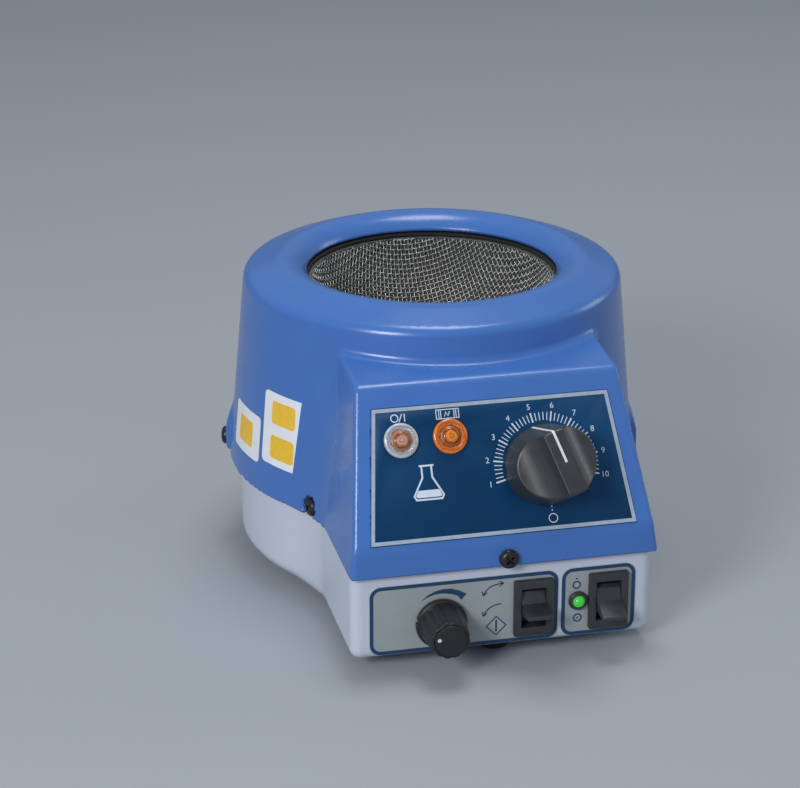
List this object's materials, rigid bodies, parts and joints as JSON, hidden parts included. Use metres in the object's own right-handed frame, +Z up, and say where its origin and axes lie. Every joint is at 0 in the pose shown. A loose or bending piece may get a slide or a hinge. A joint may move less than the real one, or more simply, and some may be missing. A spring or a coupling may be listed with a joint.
{
  "type": "magnetic stirrer",
  "caption": "Stirring heating mantle: a round blue cover round a cloth-lined well, a sloping control housing in front, and magnets under the well.",
  "frame": {"origin": "the middle of the whole outline seen from above, at the level of the table under the rubber feet; the well's vertical axis is 26 mm behind it", "axes": "+Z up along the well's axis; the sloping control face and the rocker switches face -Y; +X is to the right of someone who faces the controls"},
  "size_m": [0.179, 0.237, 0.1323],
  "materials": {
    "cover_blue": "satin moulded blue plastic",
    "base_grey": "satin moulded pale grey plastic",
    "plate_blue": "printed dark blue plate with a silver border",
    "label_grey": "printed polyester label",
    "sticker_white": "white vinyl sticker",
    "knob_black": "fine-grained black plastic",
    "switch_black": "black moulded plastic",
    "rubber_black": "matt black rubber",
    "screen_steel": "woven steel wire",
    "cloth_glass": "knitted glass yarn",
    "resistance_wire": "heat-tinted wire",
    "packing": "mineral wool",
    "sheet_aluminium": "pressed sheet",
    "zinc_steel": "zinc plated",
    "black_screw": "blackened steel",
    "iron": "soft iron",
    "bobbin_nylon": "natural nylon",
    "enamel_copper": "enamelled copper wire, wound",
    "brass": "turned brass",
    "ceramic": "moulded ceramic",
    "lens_clear": "clear ribbed lens",
    "lens_amber": "amber ribbed lens",
    "neon": "glowing neon capsule",
    "led_green": "lit green lens",
    "board_green": "solder mask",
    "core_dark": "laminated core and tape",
    "cap_blue": "sleeved capacitor",
    "block_green": "moulded terminal block",
    "wire_brown": "insulated wire",
    "wire_blue": "insulated wire",
    "wire_earth": "insulated wire"
  },
  "bodies": {
    "housing": {"top_cover": "cover_blue", "base_tray": "base_grey", "fascia_plate": "plate_blue", "lower_label": "label_grey", "side_sticker_large": "sticker_white", "side_sticker_small": "sticker_white", "rim_gasket": "rubber_black", "earth_screen": "screen_steel", "heating_cloth": "cloth_glass", "heater_winding": "resistance_wire", "insulation": "packing", "inner_can": "sheet_aluminium", "can_screws": "zinc_steel", "yoke_plate": "zinc_steel", "magnet_cores": "iron", "coil_bobbins": "bobbin_nylon", "coil_windings": "enamel_copper", "stirrer_pillars": "zinc_steel", "pillar_screws": "zinc_steel", "heat_shield": "sheet_aluminium", "energy_regulator": "ceramic", "regulator_nut": "brass", "mains_lamp_lens": "lens_clear", "heater_lamp_lens": "lens_amber", "lamp_bodies": "bobbin_nylon", "lamp_clips": "zinc_steel", "neon_bulbs": "neon", "speed_control": "core_dark", "speed_control_nut": "brass", "mode_switch_body": "switch_black", "power_switch_body": "switch_black", "switch_tabs": "brass", "indicator_bezel": "switch_black", "green_indicator": "led_green", "mains_inlet": "switch_black", "inlet_pins": "brass", "earth_stud": "brass", "live_wire": "wire_brown", "neutral_wire": "wire_blue", "earth_wire": "wire_earth", "control_board": "board_green", "board_standoffs": "zinc_steel", "board_screws": "zinc_steel", "transformer": "core_dark", "triac_heatsink": "sheet_aluminium", "triac": "switch_black", "capacitors": "cap_blue", "terminal_block": "block_green", "cover_screws": "black_screw", "rubber_feet": "rubber_black", "foot_screws": "zinc_steel"},
    "heat_knob": {"heat_knob": "knob_black", "regulator_shaft": "zinc_steel"},
    "speed_knob": {"speed_knob": "knob_black", "speed_knob_cap": "knob_black", "speed_shaft": "zinc_steel"},
    "mode_rocker": {"mode_rocker": "switch_black"},
    "power_rocker": {"power_rocker": "switch_black"}
  },
  "joints": [
    {"name": "heat_knob_turn", "type": "hinge", "parent": "housing", "child": "heat_knob", "pos_m": [0.02, -0.08659, 0.07883], "axis": [0, -0.8779, 0.4789], "range_deg": [-121, 162]},
    {"name": "speed_knob_turn", "type": "hinge", "parent": "housing", "child": "speed_knob", "pos_m": [-0.026, -0.098, 0.0202], "axis": [0, -1, 0], "range_deg": [-229, 71]},
    {"name": "mode_rocker_tilt", "type": "hinge", "parent": "housing", "child": "mode_rocker", "pos_m": [0.0122, -0.092, 0.0229], "axis": [1, 0, 0], "range_deg": [-13, 13]},
    {"name": "power_rocker_tilt", "type": "hinge", "parent": "housing", "child": "power_rocker", "pos_m": [0.0435, -0.092, 0.0229], "axis": [1, 0, 0], "range_deg": [-26, 0]}
  ]
}
